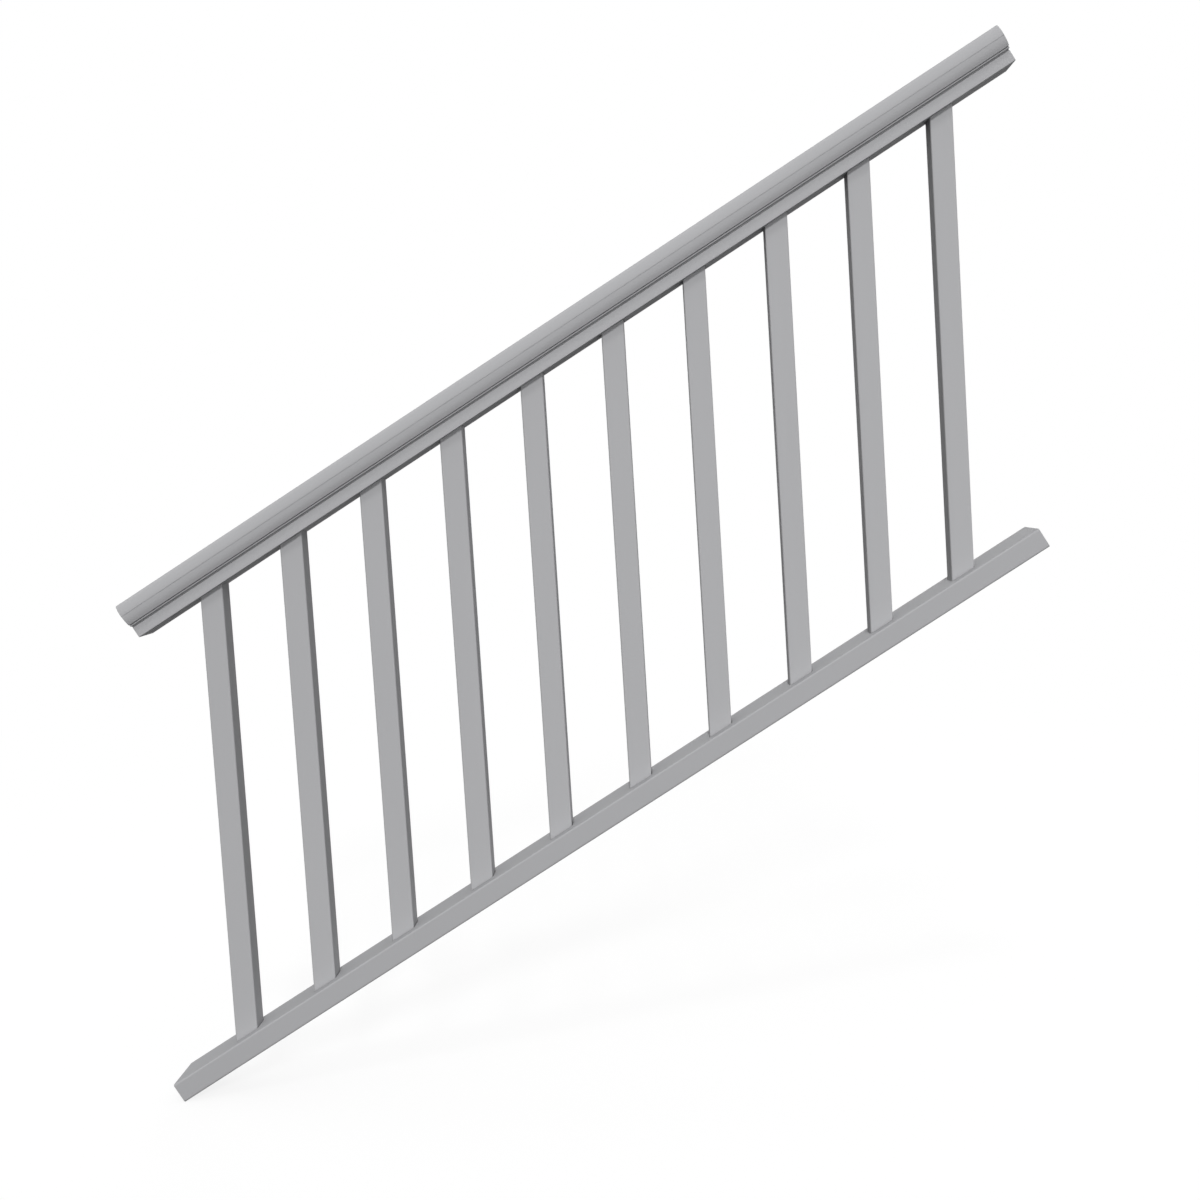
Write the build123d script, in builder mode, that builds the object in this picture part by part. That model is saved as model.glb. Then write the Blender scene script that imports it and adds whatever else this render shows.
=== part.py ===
"""Stair railing panel: a moulded handrail and a flat bottom rail, both hollow, with ten
square balusters that stand plumb in pitched sockets between them.

Millimetres. +X runs uphill, +Y away from the side that faces the viewer, +Z is up. The
origin is on the lower end face of the bottom rail, in the middle of its floor wall.
"""

from build123d import *
import os
from math import cos, radians, sin, tan

# Layout of the panel
rake = 29.6
rail_length = 1727.0
plumb_opening = 762.0
baluster_count = 10
baluster_pitch = 139.7

# Balusters: square tubes
baluster_side = 38.1
baluster_wall = 1.9
baluster_corner = 2.5

# Bottom rail: a flat hollow section
bottom_width = 88.9
bottom_height = 35.0
bottom_wall = 2.8
bottom_upper_corner = 3.2
bottom_lower_corner = 3.2

# Handrail: the stem that takes the balusters
rail_wall = 2.8
stem_width = 62.0
stem_height = 18.8
stem_corner = 1.2
web_thickness = 2.6

# Handrail: the quirk and the bead between stem and head
quirk_height = 2.6
quirk_depth = 1.4
bead_height = 3.5
bead_reach = 5.8

# Handrail: the head, from its widest band down under and up over
head_width = 92.5
ovolo_height = 14.6
ovolo_reach = 5.4
fillet_height = 3.2
fillet_lean = 0.3
fillet_step = 0.7
band_height = 3.2
flank_height = 12.0
flank_lean = 2.2
shoulder_height = 5.2
shoulder_reach = 6.6
crown_rise = 2.0

# Clearances of a baluster in its sockets
socket_side_gap = 0.4
socket_downhill_gap = 0.4
socket_uphill_gap = 1.2
socket_corner = 1.0
cut_overshoot = 1.0

# Directions of the panel
slope = radians(rake)
along = Vector(cos(slope), 0, sin(slope))
upright = Vector(-sin(slope), 0, cos(slope))
plumb = Vector(0, 0, 1)
across = Vector(0, 1, 0)

# Section planes at the lower ends: x across the rail, y square to the rake
bottom_underside = upright * (-bottom_wall / 2)
bottom_end = Plane(origin=bottom_underside, x_dir=across, z_dir=along)
bottom_crest = bottom_underside + upright * bottom_height
stem_underside = bottom_crest + plumb * plumb_opening
handrail_end = Plane(origin=stem_underside, x_dir=across, z_dir=along)

# Heights on the handrail's section, from the underside of the stem
web_top = stem_height + quirk_height
web_bottom = web_top - web_thickness
head_bottom = web_top + bead_height
ovolo_top = head_bottom + ovolo_height
fillet_top = ovolo_top + fillet_height
band_top = fillet_top + band_height
flank_top = band_top + flank_height
shoulder_top = flank_top + shoulder_height
head_top = shoulder_top + crown_rise

# Balusters stand evenly between the rails' ends
rail_run = rail_length * cos(slope)
end_margin = (rail_run - (baluster_count - 1) * baluster_pitch) / 2
first_place = bottom_crest.X + end_margin
baluster_places = [first_place + n * baluster_pitch for n in range(baluster_count)]


def raked(point):
    """Plane through the point and parallel to the rake: x uphill, z square to it."""
    return Plane(origin=point, x_dir=along, z_dir=upright)


def plumb_height(plane, x):
    """Height at which the plumb line at x meets a raked plane."""
    return plane.origin.Z + (x - plane.origin.X) * tan(slope)


# A baluster stands on the bottom rail's floor and ends under the handrail's web
floor = raked(bottom_underside + upright * bottom_wall)
web = raked(stem_underside + upright * web_bottom)

# Undersides of the two walls that the balusters pass through
bottom_roof = raked(bottom_crest - upright * bottom_wall)
stem_floor = raked(stem_underside)


def socket_mouths(wall_plane):
    """Mouths of the ten sockets, sketched just under a raked wall, to be cut plumb."""
    length = (baluster_side + socket_downhill_gap + socket_uphill_gap) / cos(slope)
    width = baluster_side + 2 * socket_side_gap
    shift = (socket_uphill_gap - socket_downhill_gap) / 2
    start = raked(wall_plane.origin - plumb * cut_overshoot)
    places = [((x + shift - start.origin.X) / cos(slope), 0) for x in baluster_places]
    with BuildSketch(start) as mouths:
        with Locations(*places):
            RectangleRounded(length, width, socket_corner)
    return mouths.sketch


def plumb_through(wall):
    """Plumb length that cuts right through a raked wall."""
    return wall / cos(slope) + 2 * cut_overshoot


def save(part, name):
    """Label one finished piece and write it to its file."""
    part.label = name
    export_step(part, f"parts/{name}.step")


os.makedirs("parts", exist_ok=True)

# Bottom rail: hollow flat section, eased corners, ten mouths in its roof
with BuildPart() as bottom_rail:
    with BuildSketch(bottom_end) as bottom_section:
        Rectangle(bottom_width, bottom_height, align=(Align.CENTER, Align.MIN))
        fillet(bottom_section.vertices().group_by(Axis.Y)[-1], bottom_upper_corner)
        fillet(bottom_section.vertices().group_by(Axis.Y)[0], bottom_lower_corner)
        with Locations((0, bottom_wall)):
            Rectangle(
                bottom_width - 2 * bottom_wall,
                bottom_height - 2 * bottom_wall,
                align=(Align.CENTER, Align.MIN),
                mode=Mode.SUBTRACT,
            )
    extrude(amount=rail_length)
    mouths = socket_mouths(bottom_roof)
    extrude(mouths, amount=plumb_through(bottom_wall), dir=plumb, mode=Mode.SUBTRACT)
save(bottom_rail.part, "bottom_rail")

# Outline of the handrail's head: ovolo underneath, then a narrow leaning fillet, the band
# that stands proud of it, the flank, the shoulder and the crown
with BuildSketch() as head_form:
    with BuildLine():
        half = head_width / 2
        fillet_edge = half - fillet_step
        ovolo_edge = fillet_edge - fillet_lean
        foot = Line((0, head_bottom), (ovolo_edge - ovolo_reach, head_bottom))
        slant = Line((fillet_edge, fillet_top), (ovolo_edge, ovolo_top))
        ovolo = TangentArc(slant @ 1, foot @ 1, tangent=slant % 1)
        step = Line(slant @ 0, (half, fillet_top))
        band = Line(step @ 1, (half, band_top))
        flank = TangentArc(band @ 1, (half - flank_lean, flank_top), tangent=band % 1)
        shoulder_end = (half - flank_lean - shoulder_reach, shoulder_top)
        shoulder = TangentArc(flank @ 1, shoulder_end, tangent=flank % 1)
        crown = TangentArc((0, head_top), shoulder_end, tangent=(1, 0))
        mirror(about=Plane.YZ)
    make_face()

# Handrail: head, bead, quirk and stem in one hollow section, with a web at the neck
with BuildPart() as handrail:
    with BuildSketch(handrail_end) as handrail_section:
        Rectangle(stem_width, web_top, align=(Align.CENTER, Align.MIN))
        fillet(handrail_section.vertices().group_by(Axis.Y)[0], stem_corner)
        with Locations((0, web_top + bead_height / 2)):
            SlotOverall(stem_width + 2 * bead_reach, bead_height)
        add(head_form.sketch)
        quirk_centre = stem_width / 2 - quirk_depth + quirk_height / 2
        quirk_level = stem_height + quirk_height / 2
        with Locations((-quirk_centre, quirk_level), (quirk_centre, quirk_level)):
            Circle(quirk_height / 2, mode=Mode.SUBTRACT)
        offset(head_form.sketch, amount=-rail_wall, mode=Mode.SUBTRACT)
        with Locations((0, web_top)):
            Rectangle(
                stem_width - 2 * (quirk_depth + rail_wall),
                bead_height + 2 * rail_wall,
                align=(Align.CENTER, Align.MIN),
                mode=Mode.SUBTRACT,
            )
        with Locations((0, rail_wall)):
            Rectangle(
                stem_width - 2 * rail_wall,
                web_bottom - rail_wall,
                align=(Align.CENTER, Align.MIN),
                mode=Mode.SUBTRACT,
            )
    extrude(amount=rail_length)
    mouths = socket_mouths(stem_floor)
    extrude(mouths, amount=plumb_through(rail_wall), dir=plumb, mode=Mode.SUBTRACT)
save(handrail.part, "handrail")

# Balusters: square tubes, plumb, cut to the pitch at both ends
for number, place in enumerate(baluster_places, start=1):
    lowest = plumb_height(floor, place - baluster_side / 2)
    highest = plumb_height(web, place + baluster_side / 2)
    with BuildPart() as baluster:
        with BuildSketch(Plane((place, 0, lowest))):
            RectangleRounded(baluster_side, baluster_side, baluster_corner)
            bore = baluster_side - 2 * baluster_wall
            Rectangle(bore, bore, mode=Mode.SUBTRACT)
        extrude(amount=highest - lowest)
        split(bisect_by=floor, keep=Keep.TOP)
        split(bisect_by=web, keep=Keep.BOTTOM)
    save(baluster.part, f"baluster_{number:02d}")
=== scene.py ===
# %% [markdown]
# # A vinyl stair railing
#
# The object is one panel of a stair railing, as it is sold for a flight of porch steps: a
# moulded handrail with a crowned head on a narrower stem, a plain bottom rail, and ten square
# balusters that stand plumb between them in routed sockets. Every stick of it is a hollow
# extrusion of PVC.
#
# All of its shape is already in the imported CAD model, so this script never moves a piece or
# redraws it. What it adds is what a CAD model has no words for: the skin that the extrusion die
# and the saw leave on the plastic, and the light and the camera that show it.

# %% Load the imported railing
import math

import bpy
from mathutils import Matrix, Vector


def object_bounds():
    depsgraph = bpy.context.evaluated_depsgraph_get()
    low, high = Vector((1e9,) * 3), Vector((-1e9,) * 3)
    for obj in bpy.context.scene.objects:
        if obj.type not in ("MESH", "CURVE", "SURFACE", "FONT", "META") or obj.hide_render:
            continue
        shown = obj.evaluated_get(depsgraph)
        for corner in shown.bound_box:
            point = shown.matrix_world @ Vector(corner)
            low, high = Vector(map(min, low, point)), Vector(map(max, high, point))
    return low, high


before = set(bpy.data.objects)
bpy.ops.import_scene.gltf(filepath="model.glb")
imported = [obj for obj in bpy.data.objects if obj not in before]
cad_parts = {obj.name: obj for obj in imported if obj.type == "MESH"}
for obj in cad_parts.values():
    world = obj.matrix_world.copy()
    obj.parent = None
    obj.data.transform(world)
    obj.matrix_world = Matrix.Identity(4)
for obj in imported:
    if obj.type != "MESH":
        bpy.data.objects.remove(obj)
cad_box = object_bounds()
print("pieces:", ", ".join(sorted(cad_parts)))
print("CAD box:", [[round(v, 4) for v in corner] for corner in cad_box])

# %% [markdown]
# ## The camera
#
# The railing was photographed nearly square on, with the camera tipped down by about three
# degrees and turned in its own plane by three and a half, so that plumb balusters lean slightly
# in the picture. The place and the angles come from a least-squares fit of every baluster's
# edges, of the rails' edges and ends, and of how wide the side faces show, with the CAD model's
# own sizes held. The fit also puts the middle of the lens a little off the middle of the
# picture, as in a crop, so the camera has a small shift. Everything else is described the way a
# photographer would, by where the camera stands, how it is turned and its focal length.

# %% Stand the camera where the photographer stood
CAMERA_PLACE = (0.8693, -2.2415, 1.0021)
CAMERA_TURN = (86.6916, 3.4891, 0.3029)
CAMERA_SHIFT = (-0.0450, -0.0365)
FOCAL_LENGTH = 40.009
FILM_WIDTH = 36

camera_data = bpy.data.cameras.new("camera")
camera_data.sensor_width = FILM_WIDTH
camera_data.lens = FOCAL_LENGTH
camera_data.shift_x, camera_data.shift_y = CAMERA_SHIFT
camera = bpy.data.objects.new("camera", camera_data)
camera.location = CAMERA_PLACE
camera.rotation_euler = [math.radians(angle) for angle in CAMERA_TURN]
bpy.context.scene.collection.objects.link(camera)
bpy.context.scene.camera = camera
print("camera at", CAMERA_PLACE, "with a lens of", FOCAL_LENGTH, "mm")

# %% [markdown]
# ## A helper for shader maths
#
# A Blender material is a graph of nodes. Written out one node and one link at a time it is hard
# to read, so the small class below wraps the socket that a node gives out. Two wrapped sockets
# can then be added or multiplied like numbers, and each operation adds the Math node that does
# it. Every other kind of node comes from one method, which takes the node's type, its settings
# and what goes into its sockets. The world's background is a graph too, so the helper takes any
# owner of one.

# %% Wrap a socket so that it reads like a number
MIX_SHARE, MIX_LOW, MIX_HIGH, MIXED_COLOUR = 0, 6, 7, 2


class Wire:
    """A socket that a node gives out, which can be used in a sum."""

    def __init__(self, owner, socket):
        self.owner = owner
        self.socket = socket

    @staticmethod
    def node(owner, kind, settings=None, inputs=None, output=0):
        """Add a node: its settings first, then the value or the wire of each input."""
        made = owner.node_tree.nodes.new(kind)
        for name, value in (settings or {}).items():
            setattr(made, name, value)
        for name, value in (inputs or {}).items():
            if isinstance(value, Wire):
                owner.node_tree.links.new(value.socket, made.inputs[name])
            else:
                made.inputs[name].default_value = value
        return Wire(owner, made.outputs[output] if made.outputs else None)

    def math(self, operation, *numbers):
        """Add a Math node over some numbers and wires."""
        settings = {"operation": operation}
        inputs = dict(enumerate(numbers))
        return Wire.node(self.owner, "ShaderNodeMath", settings, inputs)

    def __add__(self, other):
        return self.math("ADD", self, other)

    def __radd__(self, other):
        return self.math("ADD", other, self)

    def __sub__(self, other):
        return self.math("SUBTRACT", self, other)

    def __rsub__(self, other):
        return self.math("SUBTRACT", other, self)

    def __mul__(self, other):
        return self.math("MULTIPLY", self, other)

    def size(self):
        """The number without its sign."""
        return self.math("ABSOLUTE", self)

    def ramp(self, low, high):
        """0 up to low, 1 from high on, and a smooth rise between them."""
        settings = {"interpolation_type": "SMOOTHSTEP"}
        inputs = {"Value": self, "From Min": low, "From Max": high}
        return Wire.node(self.owner, "ShaderNodeMapRange", settings, inputs)

    def between(self, low, high):
        """A mix of two colours: low where this is 0, high where it is 1."""
        low, high = (c if isinstance(c, Wire) else (*c, 1.0) for c in (low, high))
        inputs = {MIX_SHARE: self, MIX_LOW: low, MIX_HIGH: high}
        settings = {"data_type": "RGBA"}
        return Wire.node(self.owner, "ShaderNodeMix", settings, inputs, MIXED_COLOUR)


print("shader maths is ready")

# %% [markdown]
# ## Which way each stick was extruded
#
# Everything that the die leaves on a piece of extruded plastic runs along the stick. The two
# rails are raked by 29.6 degrees and the balusters stand plumb, so each finish first turns the
# railing's own coordinates into three of the stick's: how far along it a point is, how far
# across, and how far up. A dot product with a unit vector does that, and the same trick on the
# surface's normal tells which way a face looks.

# %% Give each finish its own directions
RAKE = math.radians(29.6)
ALONG = Vector((math.cos(RAKE), 0, math.sin(RAKE)))
UPRIGHT = Vector((-math.sin(RAKE), 0, math.cos(RAKE)))
ACROSS = Vector((0, 1, 0))
PLUMB = Vector((0, 0, 1))
LEVEL = Vector((1, 0, 0))


def share(vector, direction):
    """How much of a vector lies in that direction."""
    settings = {"operation": "DOT_PRODUCT"}
    inputs = {0: vector, 1: direction}
    return Wire.node(vector.owner, "ShaderNodeVectorMath", settings, inputs, "Value")


print("rails run along", [round(part, 4) for part in ALONG])

# %% [markdown]
# ## Noise in the stick's own measure
#
# The marks of extrusion are long and thin: a die line is a hair wide and runs the whole length.
# Stretched noise makes them, from coordinates that are scaled by a different number in each of
# the stick's three directions, in features to the metre. A fourth coordinate works as a seed,
# so that the three finishes don't repeat each other.
#
# The table gives, for each kind of mark, those three numbers, the detail of the noise and a
# step that is added to the finish's seed.

# %% Noise over scaled coordinates
MARKS = {
    "die lines": ((0.9, 520, 520), 3.0, 0),
    "waves": ((7, 22, 22), 1.0, 3),
    "peel": ((900, 900, 900), 2.0, 5),
    "clouds": ((2.2, 9, 9), 3.0, 7),
    "patches": ((11, 30, 30), 2.0, 9),
    "hairs": ((60, 900, 900), 1.0, 11),
    "scratches": ((10, 1400, 40), 2.0, 13),
}


def marks(kind, place, seed):
    """Smooth noise about 0.5, for one kind of mark, at a place along, across and up."""
    scales, detail, step = MARKS[kind]
    owner = place[0].owner
    scaled = dict(zip("XYZ", (part * scale for part, scale in zip(place, scales))))
    vector = Wire.node(owner, "ShaderNodeCombineXYZ", None, scaled)
    settings = {"noise_dimensions": "4D"}
    inputs = {"Vector": vector, "W": seed + step, "Scale": 1.0, "Detail": detail}
    return Wire.node(owner, "ShaderNodeTexNoise", settings, inputs)


print("noise is ready for", ", ".join(MARKS))

# %% [markdown]
# ## The vinyl's skin
#
# Up close, a PVC extrusion isn't a perfect surface. It has die lines, hair-fine ridges that run
# its whole length. It has slow waves a hand's breadth long, from the puller and the cooling
# bath. It has a fine orange peel, and where it slid against others in the carton it has short
# dull rubs. None of these is deep enough to model: they are hundredths of a millimetre, so they
# go into the bump and the roughness. The colour is nearly even, a neutral light grey with a
# breath of blue.
#
# The ends of the rails were cut by a saw. A cut face is duller and a little lighter than the
# skin, and the blade leaves fine scratches straight up and down it. Two tests find those faces:
# they look along the stick, and they lie at one of its ends.
#
# Reliefs are in units of a tenth of a millimetre. A rub shows where a broad patch and fine hairs
# of noise overlap. The cut face begins within the last few tenths of a millimetre of the stick.

# %% Make the finish of one extrusion
RELIEF_UNIT = 0.0001
DIE_LINE_RELIEF, WAVE_RELIEF, PEEL_RELIEF = 0.15, 1.2, 0.05
RUB_RELIEF, SCRATCH_RELIEF = 0.06, 0.8
DIE_LINE_DULLNESS, CLOUD_DULLNESS, RUB_DULLNESS = 0.08, 0.10, 0.14
SAWN_DULLNESS, SCRATCH_DULLNESS = 0.18, 0.1
CLOUD_SHADE, SAWN_SHADE = 0.968, 1.06
CLOUD_START, CLOUD_CONTRAST, RUB_CONTRAST = 0.30, 1.6, 0.35
RUB_PATCHES, RUB_HAIRS = (0.60, 0.72), (0.45, 0.62)
END_STARTS, END_IS_FULL = 0.0004, 0.0001
FACES_THE_END = (0.90, 0.95)
SPECULAR = 0.04


def vinyl(name, tint, along, up, ends, seed, dullness):
    """The finish of a stick that runs along one direction and is cut off at two ends."""
    material = bpy.data.materials.new(name)
    material.use_nodes = True
    material.node_tree.nodes.clear()
    point = Wire.node(material, "ShaderNodeTexCoord", output="Object")
    place = [share(point, way) for way in (along, ACROSS, up)]
    length = place[0]

    die_lines = marks("die lines", place, seed)
    clouds = marks("clouds", place, seed)
    scratches = marks("scratches", place, seed)
    patches = marks("patches", place, seed).ramp(*RUB_PATCHES)
    rubs = patches * marks("hairs", place, seed).ramp(*RUB_HAIRS)

    facing = Wire.node(material, "ShaderNodeNewGeometry", output="True Normal")
    middle = (ends[0] + ends[1]) / 2
    reach = middle - ends[0]
    at_end = (length - middle).size().ramp(reach - END_STARTS, reach - END_IS_FULL)
    sawn = share(facing, along).size().ramp(*FACES_THE_END) * at_end

    waves = marks("waves", place, seed)
    peel = marks("peel", place, seed)
    skin = die_lines * DIE_LINE_RELIEF + waves * WAVE_RELIEF + peel * PEEL_RELIEF
    relief = (skin - rubs * RUB_RELIEF) * (1 - sawn) + scratches * SCRATCH_RELIEF * sawn
    inputs = {"Height": relief, "Distance": RELIEF_UNIT, "Strength": 1.0}
    normal = Wire.node(material, "ShaderNodeBump", None, inputs)

    darker = [part * CLOUD_SHADE for part in tint]
    lighter = [part * SAWN_SHADE for part in tint]
    evenness = (clouds - CLOUD_START) * CLOUD_CONTRAST - rubs * RUB_CONTRAST
    evenness = evenness.math("MAXIMUM", 0.0, evenness.math("MINIMUM", 1.0, evenness))
    colour = sawn.between(evenness.between(darker, tint), lighter)

    grain = (die_lines - 0.5) * DIE_LINE_DULLNESS + (clouds - 0.5) * CLOUD_DULLNESS
    cut = sawn * (scratches * SCRATCH_DULLNESS + SAWN_DULLNESS)
    inputs = {
        "Base Color": colour,
        "Roughness": dullness + grain + rubs * RUB_DULLNESS + cut,
        "Normal": normal,
        "Specular IOR Level": SPECULAR,
    }
    surface = Wire.node(material, "ShaderNodeBsdfPrincipled", None, inputs)
    Wire.node(material, "ShaderNodeOutputMaterial", None, {"Surface": surface})
    print(name, "has", len(material.node_tree.nodes), "nodes")
    return material


# %% [markdown]
# ## One plastic, with painted light and shade in its greys
#
# The three profiles are one plastic, but their greys are set apart as painted light and shade:
# the bottom rail, lower down, is darker than the rest by six or seven percent as painted shade,
# and the handrail is a little lighter than the balusters as painted light. The rails' cut faces
# lie at the two ends of their length, and the handrail starts a little further along the slope,
# because it stands plumb above the bottom rail. A baluster's ends are hidden in its sockets, so
# its range is so long that the test for a cut end never finds one.

# %% Mix the three finishes
RAIL_LENGTH = 1.727
PLUMB_OPENING = 0.762
# Painted light and shade: the handrail's grey is a little lighter, the bottom rail's darker.
HANDRAIL_LIT_TINT = (0.415, 0.416, 0.427)
BOTTOM_RAIL_SHADED_TINT = (0.386, 0.387, 0.398)
BALUSTER_TINT = (0.411, 0.412, 0.423)
NO_CUT_ENDS = (-5.0, 5.0)

handrail_start = PLUMB_OPENING * math.sin(RAKE)
handrail_finish = vinyl(
    "handrail_finish", HANDRAIL_LIT_TINT, along=ALONG, up=UPRIGHT,
    ends=(handrail_start, handrail_start + RAIL_LENGTH), seed=1.0, dullness=0.60,
)
bottom_finish = vinyl(
    "bottom_rail_finish", BOTTOM_RAIL_SHADED_TINT, along=ALONG, up=UPRIGHT,
    ends=(0.0, RAIL_LENGTH), seed=2.0, dullness=0.62,
)
baluster_finish = vinyl(
    "baluster_finish", BALUSTER_TINT, along=PLUMB, up=LEVEL,
    ends=NO_CUT_ENDS, seed=3.0, dullness=0.61,
)

# %% [markdown]
# ## Dressing the pieces
#
# Each CAD piece already has the right shape, so all that it needs is a new material in its
# slot. The mesh and its place stay untouched.

# %% Lay the finishes on the railing
RAIL_FINISHES = {"handrail": handrail_finish, "bottom_rail": bottom_finish}

for name, piece in sorted(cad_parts.items()):
    finish = RAIL_FINISHES.get(name, baluster_finish)
    for material_slot in piece.material_slots:
        material_slot.material = finish
    print(name, "wears", finish.name)

# %% [markdown]
# ## What the camera sees and what lights the object
#
# A catalogue picture has a white background, but a background bright enough to be white would
# also throw light on the object from below and behind and wash out its shape. Blender's Light
# Path node tells rays apart: those that come straight from the camera, or by way of a
# reflection or through glass, may see plain white, while those that gather light for the
# surfaces find something darker.

# %% Tell the rays apart
def seen_directly(owner):
    """1 for a camera, glossy or transmission ray, and 0 for one that gathers light."""
    camera_ray = Wire.node(owner, "ShaderNodeLightPath", output="Is Camera Ray")
    glossy_ray = Wire.node(owner, "ShaderNodeLightPath", output="Is Glossy Ray")
    through_ray = Wire.node(owner, "ShaderNodeLightPath", output="Is Transmission Ray")
    either = camera_ray.math("MAXIMUM", camera_ray, glossy_ray)
    return either.math("MAXIMUM", either, through_ray)


print("rays are told apart by their kind")

# %% [markdown]
# ## The floor
#
# The railing hangs in white space in its photograph. Here it stands on a wide sheet of pale
# paper, at the height of its lowest corner, which keeps a faint shadow near the object. Further
# away the paper glows more and more until it is as white as the world behind it, so that no
# horizon shows. Rays that gather light find the paper much darker, so that it throws little
# light up at the panel.

# %% Lay the paper
FLOOR_SIZE = 60.0
floor_height = cad_box[0][2]
half = FLOOR_SIZE / 2
corners = [(-half, -half), (half, -half), (half, half), (-half, half)]
floor_mesh = bpy.data.meshes.new("floor")
floor_mesh.from_pydata([(x, y, floor_height) for x, y in corners], [], [(0, 1, 2, 3)])
floor = bpy.data.objects.new("floor", floor_mesh)
bpy.context.scene.collection.objects.link(floor)
print("floor at height", round(floor_height, 4))

# %% Colour the paper
GLOW_MIDDLE = (0.77, 0, floor_height)
GLOW_RISE = (1.0, 5.0)
LEAST_GLOW = 0.85
SEEN_PAPER = (0.95, 0.95, 0.95)
UNSEEN_PAPER = (0.08, 0.08, 0.08)

paper = bpy.data.materials.new("floor_paper")
paper.use_nodes = True
paper.node_tree.nodes.clear()
seen = seen_directly(paper)
place = Wire.node(paper, "ShaderNodeTexCoord", output="Object")
inputs = {0: place, 1: GLOW_MIDDLE}
settings = {"operation": "DISTANCE"}
away = Wire.node(paper, "ShaderNodeVectorMath", settings, inputs, "Value")
glow_share = away.ramp(*GLOW_RISE) * (1 - LEAST_GLOW) + LEAST_GLOW
pale = seen.between(UNSEEN_PAPER, SEEN_PAPER)
matt = Wire.node(paper, "ShaderNodeBsdfDiffuse", None, {"Color": pale})
glow = Wire.node(paper, "ShaderNodeEmission", None, {"Strength": 1.0})
inputs = {0: seen * glow_share, 1: matt, 2: glow}
mixed = Wire.node(paper, "ShaderNodeMixShader", None, inputs)
Wire.node(paper, "ShaderNodeOutputMaterial", None, {"Surface": mixed})
floor_mesh.materials.append(paper)
print("the paper has", len(paper.node_tree.nodes), "nodes")

# %% [markdown]
# ## The white room
#
# The world is the large even light of a white studio. Seen directly it is exactly white. For
# the rays that gather light it is a bright ceiling over dim walls, with a soft edge about 35
# degrees up. That gives the side faces and the undersides the depth that they have in the
# photograph: a room that was bright all round would fill every hollow of the moulding.

# %% Paint the world
WHITE = (1.0, 1.0, 1.0, 1.0)
CEILING_LIGHT = 0.80
WALL_LIGHT = 0.23
CEILING_EDGE = (0.48, 0.66)

world = bpy.data.worlds.new("white_room")
bpy.context.scene.world = world
world.use_nodes = True
world.node_tree.nodes.clear()
towards = Wire.node(world, "ShaderNodeTexCoord", output="Generated")
ceiling = share(towards, PLUMB).ramp(*CEILING_EDGE)
room = ceiling * (CEILING_LIGHT - WALL_LIGHT) + WALL_LIGHT
seen = seen_directly(world)
inputs = {"Color": WHITE, "Strength": seen + (1 - seen) * room}
background = Wire.node(world, "ShaderNodeBackground", None, inputs)
Wire.node(world, "ShaderNodeOutputWorld", None, {"Surface": background})
print("the ceiling gives", CEILING_LIGHT, "and the walls", WALL_LIGHT)

# %% [markdown]
# ## The lamps
#
# Under the handrail each baluster shows a shadow with two steps: a dark part about 8 mm high,
# then a lighter one that ends 23 mm down. That is what two lights in front and above would
# cast, one about 30 degrees up and one about 60, both far away for their size, because the
# edges are fairly sharp. A sun lamp with a few degrees of angle is such a light.
#
# Even the dark part isn't black, and the panel's upper right end is a little lighter than its
# lower left one. So a broad soft box stands at about the camera's own height, nearer to the
# right. A fourth lamp, low behind the panel, has no counterpart in the picture, and gives the
# back the same care as the front. It leaves no glare, because the rails' tops, which the camera
# sees nearly edge on, would mirror it.

# %% Hang the lamps
def studio_lamp(name, elevation, bearing, strength, spread):
    """An even light from far off: how high it stands, and how far right of straight ahead."""
    data = bpy.data.lights.new(name, "SUN")
    data.energy = strength
    data.angle = math.radians(spread)
    light = bpy.data.objects.new(name, data)
    up, side = math.radians(elevation), math.radians(bearing)
    ahead = Vector((math.sin(side), -math.cos(side), 0))
    towards = ahead * math.cos(up) + PLUMB * math.sin(up)
    light.rotation_euler = towards.to_track_quat("Z", "Y").to_euler()
    bpy.context.scene.collection.objects.link(light)
    print(name, "stands", elevation, "degrees up and gives", strength)
    return light


def soft_box(name, place, aim, width, power):
    """A round soft light at a place in the studio, turned towards a point of the object."""
    data = bpy.data.lights.new(name, "AREA")
    data.shape = "DISK"
    data.size = width
    data.energy = power
    light = bpy.data.objects.new(name, data)
    light.location = place
    light.rotation_euler = (Vector(place) - Vector(aim)).to_track_quat("Z", "Y").to_euler()
    light.visible_camera = False
    bpy.context.scene.collection.objects.link(light)
    print(name, "is", width, "m wide and gives", power, "W")


studio_lamp("main_lamp", elevation=30.0, bearing=4.0, strength=1.56, spread=9.0)
studio_lamp("high_lamp", elevation=60.0, bearing=0.0, strength=0.48, spread=8.0)
back_lamp = studio_lamp(
    "back_lamp", elevation=8.0, bearing=180.0, strength=1.30, spread=30.0
)
back_lamp.visible_glossy = False
soft_box("front_box", place=(2.6, -6.5, 1.1), aim=(0.8, 0.0, 0.9), width=4.0, power=150.0)
bpy.context.scene.view_settings.view_transform = "Standard"
